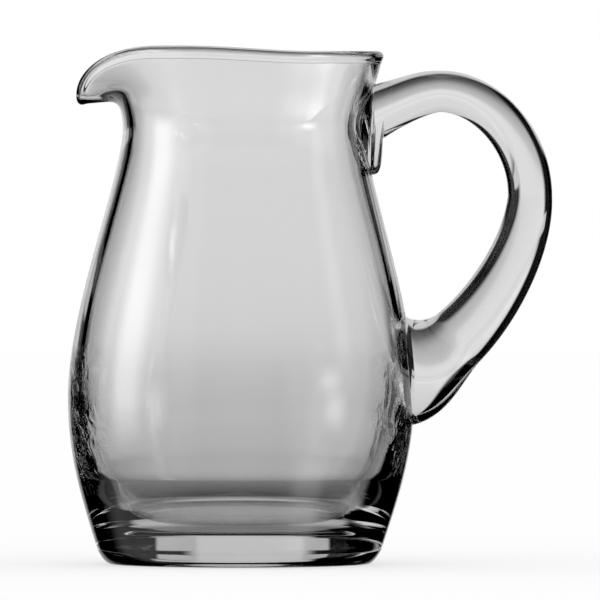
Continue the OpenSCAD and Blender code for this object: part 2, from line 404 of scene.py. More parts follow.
# The two sections on either side of that pull, and the point between them. A little less than the last
# section's number keeps the upper one of the two inside the family.
last = add(lathe, "ShaderNodeMath", {0: given["Sections"], 1: just_over_one}, operation="SUBTRACT")
place = add(lathe, "ShaderNodeMath", {0: pull.outputs[0], 1: last.outputs[0]}, operation="MULTIPLY")
below = add(lathe, "ShaderNodeMath", {0: place.outputs[0]}, operation="FLOOR")
share = add(lathe, "ShaderNodeMath", {0: place.outputs[0]}, operation="FRACT")
first = add(lathe, "ShaderNodeMath", {
    0: below.outputs[0], 1: given["Section points"], 2: column,
}, operation="MULTIPLY_ADD")
second = add(lathe, "ShaderNodeMath", {0: first.outputs[0], 1: given["Section points"]}, operation="ADD")
ends = []
for index in (first, second):
    inputs = {"Geometry": given["Geometry"], "Value": here, "Index": index.outputs[0]}
    ends.append(add(lathe, "GeometryNodeSampleIndex", inputs, data_type="FLOAT_VECTOR").outputs[0])
spot = add(lathe, "ShaderNodeMix", {
    "Factor": share.outputs[0], 4: ends[0], 5: ends[1],
}, data_type="VECTOR")

# The point is a radius and a height, which the turn takes round the axis
spot = add(lathe, "ShaderNodeSeparateXYZ", {0: spot.outputs[1]})
cosine = add(lathe, "ShaderNodeMath", {0: turn}, operation="COSINE")
sine = add(lathe, "ShaderNodeMath", {0: turn}, operation="SINE")
x = add(lathe, "ShaderNodeMath", {0: spot.outputs["X"], 1: cosine.outputs[0]}, operation="MULTIPLY")
y = add(lathe, "ShaderNodeMath", {0: spot.outputs["X"], 1: sine.outputs[0]}, operation="MULTIPLY")
spot = add(lathe, "ShaderNodeCombineXYZ", {"X": x.outputs[0], "Y": y.outputs[0], "Z": spot.outputs["Z"]})
close_tree(lathe, grid, spot.outputs[0], given["Material"])

sections = line_mesh("sections", np.vstack(family))
vessel = made_by(
    lathe, sections, "vessel", Around=around, Section_points=section_points, Sections=pulls, Material=glass,
)

# %% [markdown]
# ## Line of the handle
# The handle was drawn out of a second gather, pressed on the neck, bent over and pressed on the belly. It
# is a rod whose section changes all the way: a narrow patch with a hanging tongue at the neck, an oval rod
# over the arch, a limb that was paddled flatter while soft, and a pad that spreads at the belly. A bevelled
# curve can only scale its section, so the next steps work out the middle line, and the sizes of the section
# at each of its points. The first goes from the neck to the arch.

# %% Upper weld
handle_top = 133.1
arch_x = 53
rod_t = 11.2
rod_w = 14
upper_weld_top = 129.3
upper_weld_low = 111.3
upper_weld_w = 20
upper_weld_rise = 2
upper_weld_sink = 3
patch_in = 1.5
patch_run = 4
tongue_low = 105
tongue_reach = 4.8
tongue_round = 12
tongue_points = 45
tongue_crowd = 1.6
bridge_steps = 40
top_power = 2
low_power = 1.44

# Upright rings from the wall to the arch: the rod's upper and lower line, and how far it spreads on the wall
arch_low = handle_top - rod_t
weld_x = neck_r - upper_weld_sink
tongue_x = neck_r + tongue_reach
upper_x = np.concatenate([
    weld_x + (tongue_x - weld_x) * (1 - np.linspace(1, 0, tongue_points) ** tongue_crowd),
    np.linspace(tongue_x, arch_x, bridge_steps + 1)[1:],
])
run = (arch_x - upper_x) / (arch_x - neck_r)
upper_top = handle_top - (handle_top - upper_weld_top) * run**top_power
upper_low = arch_low - (arch_low - upper_weld_low) * run**low_power
upper_line = np.column_stack([upper_x, (upper_top + upper_low) / 2])
upper_half_t = (upper_top - upper_low) / 2
patch = 1 - ease((upper_x - neck_r + patch_in) / patch_run)
upper_half_w = mix(rod_w, upper_weld_w, patch) / 2
upper_rise = upper_weld_rise * patch
share = np.clip((upper_x - weld_x) / (tongue_x - weld_x), 0, 1)
upper_lobe = (upper_low - tongue_low) * np.sqrt(1 - share**tongue_round)
print(f"upper weld from {tongue_low} to {upper_weld_top} mm up, {upper_weld_w} mm wide")

# %% [markdown]
# ## Arch and limb
# Past the weld the rod runs over the arch and down the limb to the belly. Two cubic curves give that line,
# and the rod grows along it. Drawing the line through points of the picture would put small bends into it,
# and glass that sagged under its own weight has none.

# %% Arch and limb
limb_t = 12
limb_h = 99.4
arch_hold = 0.5, 0.53
arch_steps = 40
lower_weld_h = 53
lower_weld_t = 32
lower_weld_w = 22
lower_weld_sink = 3.5
limb_hold = 0.4, 0.43
limb_steps = 70
limb_growth = 0.4
pad_from = 0.66
pad_run = 0.32

arch_h = handle_top - rod_t / 2
limb_x = handle_reach - limb_t / 2
arch_curve = [
    (arch_x, arch_h),
    (mix(arch_x, limb_x, arch_hold[0]), arch_h),
    (limb_x, mix(limb_h, arch_h, arch_hold[1])),
    (limb_x, limb_h),
]
lower_end = (float(outside_r(lower_weld_h)) - lower_weld_sink, lower_weld_h)
limb_curve = [
    (limb_x, limb_h),
    (limb_x, mix(limb_h, lower_weld_h, limb_hold[0])),
    (mix(lower_end[0], limb_x, limb_hold[1]), lower_weld_h),
    lower_end,
]
arch_line = curve(arch_curve, arch_steps)
arch_share = np.arange(1, arch_steps + 1) / arch_steps
arch_half_t = mix(rod_t, limb_t, arch_share) / 2
arch_half_w = np.full(arch_steps, rod_w / 2)

# The limb grows slowly all the way down, and then quickly to the pad
limb_line = curve(limb_curve, limb_steps)
limb_share = np.arange(1, limb_steps + 1) / limb_steps
swell = limb_growth * limb_share + (1 - limb_growth) * ease((limb_share - pad_from) / pad_run)
limb_half_t = mix(limb_t, lower_weld_t, swell) / 2
limb_half_w = mix(rod_w, lower_weld_w, swell) / 2
print(f"arch up to {handle_top} mm, limb out to {handle_reach:.1f} mm, lower weld at {lower_weld_h} mm")

# %% [markdown]
# ## Whole rod
# The limb was paddled flatter while soft, so its section is a rounded square there, and an oval elsewhere.
# One power of sine and cosine gives all of these, so the section can change along the rod without a seam.
# The sizes go on the points of the middle line as attributes.

# %% Whole rod
oval_power = 2
paddled_power = 2.7
pad_round_from = 0.7

# The section goes from an oval at the arch to a rounded square on the limb, and back to an oval at the pad
squareness = np.concatenate([
    np.zeros(len(upper_line)),
    ease(arch_share),
    1 - ease((limb_share - pad_round_from) / (1 - pad_round_from)),
])
round_power = 2 / mix(oval_power, paddled_power, squareness)
rod_line = np.vstack([upper_line, arch_line, limb_line])
half_t = np.concatenate([upper_half_t, arch_half_t, limb_half_t])
half_w = np.concatenate([upper_half_w, arch_half_w, limb_half_w])
along = np.vstack([
    np.tile((1.0, 0.0), (len(upper_line), 1)),
    directions(np.vstack([upper_line[-1:], arch_line, limb_line]))[1:],
])
across = np.column_stack([-along[:, 1], along[:, 0]])

# A ring of no size at each end closes the rod
plain = np.zeros(len(rod_line) - len(upper_line) + 1)
closed_line = np.vstack([rod_line[:1], rod_line, rod_line[-1:]])
closed_t = np.concatenate([[0], half_t, [0]])
closed_w = np.concatenate([[0], half_w, [0]])
closed_lobe = np.concatenate([[0], upper_lobe, plain])
closed_rise = np.concatenate([[0], upper_rise, plain])
closed_power = np.concatenate([[1], round_power, [1]])
closed_across = np.vstack([across[:1], across, across[-1:]]) * closed_t[:, None]
middle_line = line_mesh("middle_line", closed_line, {"up": closed_across}, {
    "half_width": closed_w * MM,
    "lobe": closed_lobe * MM,
    "rise": closed_rise * MM,
    "round_power": closed_power,
})
print(f"middle line of {len(closed_line)} points")

# %% [markdown]
# ## Sweeping the handle
# The second tree sweeps a rounded section along that line. It reads the sizes of the section from the
# line's attributes: the half thickness as a vector, the half width, the power that makes the section
# squarer, the tongue that hangs below it and the patch that rises above it.

# %% Handle
sides = 96
rod = new_tree("drawn_rod", {
    "Sides": ("NodeSocketInt", sides),
    "Lobe power": ("NodeSocketFloat", 3),
    "Rise power": ("NodeSocketFloat", 2),
    "Material": ("NodeSocketMaterial", None),
})
given = add(rod, "NodeGroupInput").outputs
count = add(rod, "GeometryNodeAttributeDomainSize", {"Geometry": given["Geometry"]})
grid, column, turn = section_grid(rod, count.outputs["Point Count"], given["Sides"], crowd=0)

# The sizes at each column of the grid
here = add(rod, "GeometryNodeInputPosition").outputs[0]
fields = {"centre": ("FLOAT_VECTOR", here)}
for name, kind in (
    ("up", "FLOAT_VECTOR"),
    ("half_width", "FLOAT"),
    ("lobe", "FLOAT"),
    ("rise", "FLOAT"),
    ("round_power", "FLOAT"),
):
    attribute = add(rod, "GeometryNodeInputNamedAttribute", {"Name": name}, data_type=kind)
    fields[name] = kind, attribute.outputs[0]
at_column = {}
for name, (kind, field) in fields.items():
    inputs = {"Geometry": given["Geometry"], "Value": field, "Index": column}
    at_column[name] = add(rod, "GeometryNodeSampleIndex", inputs, data_type=kind).outputs[0]

# Sine and cosine of the turn, made squarer
waves = []
for operation in ("SINE", "COSINE"):
    wave = add(rod, "ShaderNodeMath", {0: turn}, operation=operation)
    size = add(rod, "ShaderNodeMath", {0: wave.outputs[0]}, operation="ABSOLUTE")
    size = add(rod, "ShaderNodeMath", {0: size.outputs[0], 1: at_column["round_power"]}, operation="POWER")
    sign = add(rod, "ShaderNodeMath", {0: wave.outputs[0]}, operation="SIGN")
    waves.append(add(rod, "ShaderNodeMath", {0: size.outputs[0], 1: sign.outputs[0]}, operation="MULTIPLY"))
sine, cosine = waves

# The tongue hangs from the lower half of a ring, and the patch rises from its upper half
under = add(rod, "ShaderNodeMath", {0: sine.outputs[0], 1: -1}, operation="MULTIPLY", use_clamp=True)
under = add(rod, "ShaderNodeMath", {0: under.outputs[0], 1: given["Lobe power"]}, operation="POWER")
hang = add(rod, "ShaderNodeMath", {0: under.outputs[0], 1: at_column["lobe"]}, operation="MULTIPLY")
over = add(rod, "ShaderNodeMath", {0: sine.outputs[0], 1: 1}, operation="MULTIPLY", use_clamp=True)
over = add(rod, "ShaderNodeMath", {0: over.outputs[0], 1: given["Rise power"]}, operation="POWER")
over = add(rod, "ShaderNodeMath", {0: over.outputs[0], 1: at_column["rise"]}, operation="MULTIPLY")
lift = add(rod, "ShaderNodeMath", {0: over.outputs[0], 1: hang.outputs[0]}, operation="SUBTRACT")

raised = add(rod, "ShaderNodeVectorMath", {0: at_column["up"], "Scale": sine.outputs[0]}, operation="SCALE")
wide = add(rod, "ShaderNodeMath", {0: at_column["half_width"], 1: cosine.outputs[0]}, operation="MULTIPLY")
sideways = add(rod, "ShaderNodeCombineXYZ", {"Y": wide.outputs[0], "Z": lift.outputs[0]})
spot = add(rod, "ShaderNodeVectorMath", {0: at_column["centre"], 1: raised.outputs[0]}, operation="ADD")
spot = add(rod, "ShaderNodeVectorMath", {0: spot.outputs[0], 1: sideways.outputs[0]}, operation="ADD")
close_tree(rod, grid, spot.outputs[0], given["Material"])
handle = made_by(rod, middle_line, "handle", Sides=sides, Material=cut_mark)

# %% [markdown]
# ## Cutting the handle to the wall
# On the real pitcher the two gathers are fused where they meet. Here they stay two pieces, so the handle is
# cut to the wall, and neither runs through the other. Both are glass at the cut with a hair of air between
# them, so a little light mirrors there that a real weld would let through. One joined mesh would show no
# such mirror, but it would be one piece. The handle wears a mark while it is cut, so that the script can
# tell which faces each piece left on the other.

# %% Cuts
weld_depth = 0.8


def points_of(piece):
    """The points of a piece's mesh, in millimetres."""
    points = np.empty(len(piece.data.vertices) * 3)
    piece.data.vertices.foreach_get("co", points)
    return points.reshape(-1, 3) / MM


def facing_out(piece):
    """Turns the faces of a closed mesh outwards."""
    work = bmesh.new()
    work.from_mesh(piece.data)
    bmesh.ops.recalc_face_normals(work, faces=work.faces)
    if work.calc_volume(signed=True) < 0:
        bmesh.ops.reverse_faces(work, faces=work.faces)
    work.to_mesh(piece.data)
    work.free()


def cut(piece, tool):
    """The mesh of a piece less a tool. Faces left by the tool keep the tool's material."""
    modifier = piece.modifiers.new("cut", "BOOLEAN")
    modifier.operation = "DIFFERENCE"
    modifier.solver = "EXACT"
    modifier.material_mode = "TRANSFER"
    modifier.object = tool
    evaluated = piece.evaluated_get(bpy.context.evaluated_depsgraph_get())
    mesh = bpy.data.meshes.new_from_object(evaluated)
    piece.modifiers.clear()
    return mesh


# The ends of the rod go no deeper into the wall than a weld does
points = points_of(handle)
radius_now = np.hypot(points[:, 0], points[:, 1])
least = outside_r(points[:, 2]) - weld_depth
push = np.maximum(1, least / np.maximum(radius_now, 1))
points[:, :2] *= push[:, None]
handle.data.vertices.foreach_set("co", (points * MM).ravel())
facing_out(vessel)
facing_out(handle)
vessel_cut = cut(vessel, handle)
handle_cut = cut(handle, vessel)
print(f"cut: vessel {len(vessel_cut.polygons)} faces, handle {len(handle_cut.polygons)} faces")

# %% [markdown]
# ## Seats of the welds
# The cut leaves a pocket in the wall and a seat on each end of the handle, with other points. Two such
# surfaces that nearly touch would flicker, so the pocket is taken out, and copies of the handle's seats
# close the wall. They lie a hair deeper than the handle does, so that no two faces share one place.

# %% Seats of the welds
seat_depth = 0.15 * MM
merge_distance = 2e-7
seat_index = 1

# The handle wears the mark, so its faces of glass are those that the wall left on it
handle_work = bmesh.new()
handle_work.from_mesh(handle_cut)
seat_faces = [f for f in handle_work.faces if handle_cut.materials[f.material_index] == glass]
seats = [[v.co.copy() for v in f.verts] for f in seat_faces]
seat_set = set(seat_faces)
for face in handle_work.faces:
    face.material_index = 0
    face.smooth = True
for edge in handle_work.edges:
    edge.smooth = len({f in seat_set for f in edge.link_faces}) == 1
handle_work.to_mesh(handle_cut)
handle_work.free()

# The pocket that the handle left in the wall goes, and copies of the seats close the wall again
vessel_work = bmesh.new()
vessel_work.from_mesh(vessel_cut)
pocket = [f for f in vessel_work.faces if vessel_cut.materials[f.material_index] == cut_mark]
bmesh.ops.delete(vessel_work, geom=pocket, context="FACES")
for face in vessel_work.faces:
    face.material_index = 0
    face.smooth = True
for seat in seats:
    face = vessel_work.faces.new([vessel_work.verts.new(c) for c in reversed(seat)])
    face.material_index = seat_index
    face.smooth = True
bmesh.ops.remove_doubles(vessel_work, verts=vessel_work.verts, dist=merge_distance)
loose = [v for v in vessel_work.verts if not v.link_faces]
bmesh.ops.delete(vessel_work, geom=loose, context="VERTS")
for vert in vessel_work.verts:
    if all(f.material_index == seat_index for f in vert.link_faces):
        vert.co.xy *= 1 - seat_depth / vert.co.xy.length
for face in vessel_work.faces:
    face.material_index = 0
open_edges = sum(len(e.link_faces) != 2 for e in vessel_work.edges)
vessel_work.to_mesh(vessel_cut)
vessel_work.free()

for piece, mesh in ((handle, handle_cut), (vessel, vessel_cut)):
    mesh.materials.clear()
    mesh.materials.append(glass)
    piece.data = mesh
print(f"{len(seats)} seat faces, {open_edges} open edges left in the vessel")

# %% [markdown]
# ## Made by hand
# Nothing blown stands quite true. This pitcher leans a little to its handle, and its rim sags on that side,
# where the weld softened it again. A lattice could bend it too. Here the points are moved by their place,
# the same way in both pieces, so that the welds stay closed.

# %% Lean and sag
lean_low = -0.68
lean_rise = 1.13 / 104
rim_sag = 1.5
rim_squeeze = 0.9
squeeze_power = 3
sag_from = -16
sag_to = 20
sag_out = 38
sag_end = 50
for piece in (vessel, handle):
    points = points_of(piece)
    x, z = points[:, 0].copy(), points[:, 2].copy()
    share = np.clip((z - neck_h) / (height - neck_h), 0, 1)
    share *= ease((x - sag_from) / (sag_to - sag_from)) * ease((sag_end - x) / (sag_end - sag_out))
    points[:, 0] += lean_low + lean_rise * z
    points[:, 0] -= rim_squeeze * share**squeeze_power
    points[:, 2] -= rim_sag * share
    piece.data.vertices.foreach_set("co", (points * MM).ravel())
    piece.data.update()
print(f"rim sags {rim_sag} mm at the handle, vessel leans {lean_rise * height:.1f} mm over its height")

# %% [markdown]
# ## Clear blown glass
# Soda-lime glass, blown and fire polished: the flame melts the skin, so it is as smooth as a liquid and has
# almost no colour. What shows it is the bending of light, so the index of refraction does most of the work.
# Its surface still tells how it was made. Slow waves run round it from the turning pipe, the inside of the
# low wall is crinkled where it chilled in the mould, the upper weld is drawn out in streaks, and the foot
# is worn. All these marks are very shallow, so the wear is a change of roughness, and the others are heights
# in a bump, in millimetres.
#
# This first step puts the place of each point in millimetres, so that every pattern has its real size.

# %% Places on the glass
def linear(hex_colour):
    """An sRGB hex colour as linear red, green, blue and alpha."""
    parts = [int(hex_colour[i : i + 2], 16) / 255 for i in (1, 3, 5)]
    return [c / 12.92 if c <= 0.04045 else ((c + 0.055) / 1.055) ** 2.4 for c in parts] + [1]


# The point itself, its three parts and its distance from the axis, in millimetres
glass.use_nodes = True
tree = glass.node_tree
tree.nodes.clear()
spot = add(tree, "ShaderNodeVectorMath", {
    0: add(tree, "ShaderNodeTexCoord").outputs["Object"], "Scale": 1 / MM,
}, operation="SCALE").outputs[0]
part = add(tree, "ShaderNodeSeparateXYZ", {0: spot}).outputs
flat = add(tree, "ShaderNodeVectorMath", {0: spot, 1: (1, 1, 0)}, operation="MULTIPLY")
axis_r = add(tree, "ShaderNodeVectorMath", {0: flat.outputs[0]}, operation="LENGTH").outputs["Value"]
print(f"patterns of {glass.name} are in millimetres")

# %% [markdown]
# ## Tint, painted shade and waves
# The glass is darker towards the base, and clear at the lip. Part of that is the light that the thick base
# takes away, and part is painted shade that darkens the base. An absorbing volume would give the first part
# too, but it renders more slowly. So the tint and the painted shade go on the surface, by height. The
# waves are what the turning pipe left: slow ones, seen only where a reflection bends a little.

# %% Tint, painted shade and waves
# Darker stops at the base: partly the tint of thick glass, partly painted shade on the glass's colour
tint_and_shade_top = 140
tint_and_shade_stops = [
    (0, "#D8D8D8"),
    (0.06, "#DCDCDC"),
    (0.13, "#FBFBFB"),
    (0.75, "#FBFBFB"),
    (0.9, "#FFFFFF"),
    (1, "#FFFFFF"),
]
# Painted shade: the colour of the glass darkens towards the foot, along with the tint of the thick base
up_glass = add(tree, "ShaderNodeMapRange", {"Value": part["Z"], "From Max": tint_and_shade_top})
tint_and_shade = add(tree, "ShaderNodeValToRGB", {0: up_glass.outputs[0]})
stops = tint_and_shade.color_ramp.elements
stops[0].color = linear(tint_and_shade_stops[0][1])
stops[1].color = linear(tint_and_shade_stops[-1][1])
for place, colour in tint_and_shade_stops[1:-1]:
    stops.new(place).color = linear(colour)

# Waves from the turning pipe: long round the vessel and short up it
wave_round = 40
wave_up = 9
wave_depth = 0.02
wave_size = (1 / wave_round, 1 / wave_round, 1 / wave_up)
wave_at = add(tree, "ShaderNodeVectorMath", {0: spot, 1: wave_size}, operation="MULTIPLY")
waves = add(tree, "ShaderNodeTexNoise", {"Vector": wave_at.outputs[0], "Scale": 1, "Detail": 1})
relief = add(tree, "ShaderNodeMath", {0: waves.outputs[0], 1: wave_depth}, operation="MULTIPLY").outputs[0]
print(f"waves {wave_round} mm long and {wave_depth} mm deep, {len(tint_and_shade_stops)} stops of tint")

# %% [markdown]
# ## Chill marks
# The low wall chilled first in the mould, and its inside crinkled while the rest still moved. On this
# pitcher the marks lie in clusters, towards the spout and towards the handle, and they glint in the dark
# edges. Modelled crinkles would need a very fine mesh, so they are noise, kept to their place by five
# masks. One of these keeps them to the inside, which lies there within a cone that the outside doesn't
# reach.

# %% Chill marks
chill_size = 4
chill_depth = 0.28
chill_low = 12, 18
chill_high = 40, 60
chill_side = 34, 41
cluster_size = 8
cluster_range = 0.38, 0.6
cone_slope = 0.18
cone_r = 36, 37
cone = add(tree, "ShaderNodeMath", {0: part["Z"], 1: -cone_slope, 2: axis_r}, operation="MULTIPLY_ADD")
within = add(tree, "ShaderNodeMapRange", {
    "Value": cone.outputs[0], "From Min": cone_r[0], "From Max": cone_r[1], "To Min": 1, "To Max": 0,
})
above = add(tree, "ShaderNodeMapRange", {
    "Value": part["Z"], "From Min": chill_low[0], "From Max": chill_low[1],
})
below = add(tree, "ShaderNodeMapRange", {
    "Value": part["Z"], "From Min": chill_high[0], "From Max": chill_high[1], "To Min": 1, "To Max": 0,
})
side = add(tree, "ShaderNodeMath", {0: part["X"]}, operation="ABSOLUTE")
beside = add(tree, "ShaderNodeMapRange", {
    "Value": side.outputs[0], "From Min": chill_side[0], "From Max": chill_side[1],
}, interpolation_type="SMOOTHSTEP")
clusters = add(tree, "ShaderNodeTexNoise", {"Vector": spot, "Scale": 1 / cluster_size, "Detail": 1})
clustered = add(tree, "ShaderNodeMapRange", {
    "Value": clusters.outputs[0], "From Min": cluster_range[0], "From Max": cluster_range[1],
})
crinkles = add(tree, "ShaderNodeTexNoise", {
    "Vector": spot, "Scale": 1 / chill_size, "Detail": 2, "Distortion": 1.5,
})
crinkle = add(tree, "ShaderNodeMath", {0: crinkles.outputs[0], 1: chill_depth}, operation="MULTIPLY")
for mask in (within, above, below, beside, clustered):
    crinkle = add(tree, "ShaderNodeMath", {0: crinkle.outputs[0], 1: mask.outputs[0]}, operation="MULTIPLY")
relief = add(tree, "ShaderNodeMath", {0: crinkle.outputs[0], 1: relief}, operation="ADD").outputs[0]
print(f"chill marks about {chill_size} mm wide and up to {chill_depth} mm deep")

# %% [markdown]
# ## Weld streaks
# The upper weld was pressed on and drawn down while the glass was soft, so fine streaks run down in it. A
# noise that is much longer than it is wide gives them, and an egg-shaped mask keeps them to the weld.

# %% Weld streaks
streak_width = 1.6
streak_length = 14
streak_depth = 0.03
weld_middle = 31, 0, 117
weld_half = 6, 17, 13
weld_edge = 0.8, 1.1
streak_size = (1 / streak_width, 1 / streak_width, 1 / streak_length)
streak_at = add(tree, "ShaderNodeVectorMath", {0: spot, 1: streak_size}, operation="MULTIPLY")
streaks = add(tree, "ShaderNodeTexNoise", {"Vector": streak_at.outputs[0], "Scale": 1, "Detail": 2})
off = add(tree, "ShaderNodeVectorMath", {0: spot, 1: weld_middle}, operation="SUBTRACT")
off = add(tree, "ShaderNodeVectorMath", {
    0: off.outputs[0], 1: [1 / half for half in weld_half],
}, operation="MULTIPLY")
off = add(tree, "ShaderNodeVectorMath", {0: off.outputs[0]}, operation="LENGTH")
near = add(tree, "ShaderNodeMapRange", {
    "Value": off.outputs["Value"], "From Min": weld_edge[0], "From Max": weld_edge[1],
    "To Min": 1, "To Max": 0,
})
streak = add(tree, "ShaderNodeMath", {0: streaks.outputs[0], 1: streak_depth}, operation="MULTIPLY")
relief = add(tree, "ShaderNodeMath", {
    0: streak.outputs[0], 1: near.outputs[0], 2: relief,
}, operation="MULTIPLY_ADD").outputs[0]
print(f"weld streaks {streak_width} mm wide and {streak_length} mm long")

# %% [markdown]
# ## Worn foot
# A used pitcher has fine scratches where it stands, and they make its foot a little dull. The scratches are
# too fine to see one by one, so they are a change of roughness on the lowest half millimetre, and nowhere
# else.

# %% Worn foot
worn_height = 0.05, 0.4
worn_roughness = 0.12
scratches_per_mm = 1.5
worn = add(tree, "ShaderNodeMapRange", {
    "Value": part["Z"], "From Min": worn_height[0], "From Max": worn_height[1],
    "To Min": worn_roughness, "To Max": 0,
})
scratches = add(tree, "ShaderNodeTexNoise", {"Vector": spot, "Scale": scratches_per_mm, "Detail": 4})
rough = add(tree, "ShaderNodeMath", {0: worn.outputs[0], 1: scratches.outputs[0]}, operation="MULTIPLY")
print(f"foot worn up to {worn_height[1]} mm")

# %% [markdown]
# ## Finished glass
# All that was made above meets in one shader: clear soda glass, with its own index of refraction. A glass
# shader would do as well.

# %% Finished glass
# The heights above are in millimetres, so the bump's distance is one millimetre
bump = add(tree, "ShaderNodeBump", {"Height": relief, "Distance": MM, "Strength": 1})
shader = add(tree, "ShaderNodeBsdfPrincipled", {
    "Base Color": tint_and_shade.outputs[0], "Roughness": rough.outputs[0], "IOR": 1.52, "Transmission Weight": 1,
    "Normal": bump.outputs[0],
})
add(tree, "ShaderNodeOutputMaterial", {"Surface": shader.outputs[0]})
print(f"material {glass.name}")

# %% [markdown]
# ## Floor
# The pitcher stands on white paper, where the camera sees it and its soft shadow. Through the glass the
# paper would fill the base with white, which the picture doesn't have. So rays that come by way of the
# glass go through the paper to the studio below it, and only the paper under the foot, which gets no light,
# is dark.

# %% Paper floor
paper_r = 3000
paper_sides = 96
paper_drop = 0.2
paper_glow = 0.64
foot_shade = 0.4
foot_shade_r = 32, 36
floor_mesh = bpy.data.meshes.new("floor")
floor_work = bmesh.new()
bmesh.ops.create_circle(floor_work, cap_ends=True, segments=paper_sides, radius=paper_r * MM)
floor_work.to_mesh(floor_mesh)
floor_work.free()
floor = bpy.data.objects.new("floor", floor_mesh)
floor.location.z = -paper_drop * MM
bpy.context.scene.collection.objects.link(floor)

# Matte white paper. A little glow lifts it to the white of the picture, and its shadow stays.
paper = bpy.data.materials.new("white_paper_floor")
paper.use_nodes = True
tree = paper.node_tree
tree.nodes.clear()
matte = add(tree, "ShaderNodeBsdfDiffuse", {"Color": linear("#A0A0A0")})
glow = add(tree, "ShaderNodeEmission", {"Color": linear("#FFFFFF"), "Strength": paper_glow})
seen = add(tree, "ShaderNodeAddShader", {0: matte.outputs[0], 1: glow.outputs[0]})
spread = add(tree, "ShaderNodeVectorMath", {
    0: add(tree, "ShaderNodeTexCoord").outputs["Object"],
}, operation="LENGTH")
shade = add(tree, "ShaderNodeMapRange", {
    "Value": spread.outputs["Value"], "From Min": foot_shade_r[0] * MM, "From Max": foot_shade_r[1] * MM,
    "To Min": foot_shade, "To Max": 1,
})
through = add(tree, "ShaderNodeBsdfTransparent", {"Color": shade.outputs[0]})
rays = add(tree, "ShaderNodeLightPath").outputs
by_glass = add(tree, "ShaderNodeMath", {
    0: rays["Is Glossy Ray"], 1: rays["Is Transmission Ray"],
}, operation="MAXIMUM")
look = add(tree, "ShaderNodeMixShader", {0: by_glass.outputs[0], 1: seen.outputs[0], 2: through.outputs[0]})
add(tree, "ShaderNodeOutputMaterial", {"Surface": look.outputs[0]})
floor.data.materials.append(paper)
print(f"paper floor {2 * paper_r} mm wide")

# %% [markdown]
# ## Studio
# Clear glass shows little but what stands round it, so the studio makes half of its look. A bright sheet
# stands behind the pitcher, dark gaps beside it draw the dark lines of the walls, and cards to the left and
# the right give the highlights. Real sheets and area lamps would do, but they would have to be hidden from
# the camera. The world's own light can draw them all: each card is a patch of the sky with soft edges,
# given in degrees.

# %% Cards
world = bpy.data.worlds.new("studio")
bpy.context.scene.world = world
world.use_nodes = True
tree = world.node_tree
tree.nodes.clear()
way = add(tree, "ShaderNodeSeparateXYZ", {0: add(tree, "ShaderNodeTexCoord").outputs["Generated"]})
azimuth = add(tree, "ShaderNodeMath", {
    0: way.outputs["X"], 1: way.outputs["Y"],
}, operation="ARCTAN2").outputs[0]
elevation = add(tree, "ShaderNodeMath", {0: way.outputs["Z"]}, operation="ARCSINE").outputs[0]


def card(middle, half, side_fade, low, high, fade, level):
    """A soft-edged card. Its middle and half width are degrees round the object, with 0 behind it and 90 on
    the right, and its lower and upper edge are degrees up from the horizon. The fades soften its edges."""
    angles = (middle, half, side_fade, low, high, fade)
    middle, half, side_fade, low, high, fade = (math.radians(angle) for angle in angles)
    off = add(tree, "ShaderNodeMath", {0: azimuth, 1: middle}, operation="SUBTRACT")
    off = add(tree, "ShaderNodeMath", {0: off.outputs[0], 1: math.pi, 2: -math.pi}, operation="WRAP")
    off = add(tree, "ShaderNodeMath", {0: off.outputs[0]}, operation="ABSOLUTE")
    wide = add(tree, "ShaderNodeMapRange", {
        "Value": off.outputs[0], "From Min": half - side_fade, "From Max": half + side_fade,
        "To Min": level, "To Max": 0,
    }, interpolation_type="SMOOTHSTEP")
    above = add(tree, "ShaderNodeMapRange", {
        "Value": elevation, "From Min": low - fade, "From Max": low + fade,
    }, interpolation_type="SMOOTHSTEP")
    below = add(tree, "ShaderNodeMapRange", {
        "Value": elevation, "From Min": high - fade, "From Max": high + fade, "To Min": 1, "To Max": 0,
    }, interpolation_type="SMOOTHSTEP")
    both = add(tree, "ShaderNodeMath", {0: wide.outputs[0], 1: above.outputs[0]}, operation="MULTIPLY")
    cut_off = add(tree, "ShaderNodeMath", {0: both.outputs[0], 1: below.outputs[0]}, operation="MULTIPLY")
    return cut_off.outputs[0]


print("studio of soft cards, in degrees round the pitcher and up from the horizon")

# %% [markdown]
# ## Sheet behind the pitcher
# The bright sheet is what the eye sees through the wall. It is brightest at the horizon and falls off
# downwards, which shades the bowl towards its base. A curve node holds that fall. The strip along the
# horizon is wider than the sheet, and the flat floor of the bowl mirrors it as the pale patch in the base.

# %% Sheet behind the pitcher
no_edge = 120
sheet_profile = [
    (-90, 0.01),
    (-60, 0.01),
    (-42, 0.02),
    (-27, 0.09),
    (-18, 0.28),
    (-12, 0.45),
    (-8, 0.52),
    (-5, 0.6),
    (-2, 0.76),
    (1, 0.79),
    (3, 0.74),
    (5, 0.42),
    (7, 0.12),
    (12, 0.05),
    (20, 0.03),
    (35, 0),
    (90, 0),
]
height_share = add(tree, "ShaderNodeMapRange", {
    "Value": elevation, "From Min": -math.pi / 2, "From Max": math.pi / 2,
})
profile = add(tree, "ShaderNodeFloatCurve", {"Value": height_share.outputs[0]})
line = profile.mapping.curves[0].points
profile_spots = [((angle + 90) / 180, level) for angle, level in sheet_profile]
line[0].location = profile_spots[0]
for profile_spot in profile_spots[1:-1]:
    line.new(*profile_spot)
line[-1].location = profile_spots[-1]
profile.mapping.update()
sheet = card(-3.5, 17, 3.5, -no_edge, no_edge, 5, 1)
total = add(tree, "ShaderNodeMath", {0: sheet, 1: profile.outputs[0]}, operation="MULTIPLY").outputs[0]
horizon = card(-1.5, 26.5, 1, 0.6, 3.8, 0.5, 0.6)
total = add(tree, "ShaderNodeMath", {0: total, 1: horizon}, operation="MAXIMUM").outputs[0]
print(f"sheet with {len(sheet_profile)} levels over its height, and a strip along the horizon")

# %% [markdown]
# ## Cards round the pitcher
# A large soft light on the left gives the long highlight of the belly, with a brighter core. Weaker cards
# at the front and on the right lift the inside of the neck and the lower belly. The upper sheet fills the
# thick parts of the handle. Their places were found by following rays from the picture through the glass.

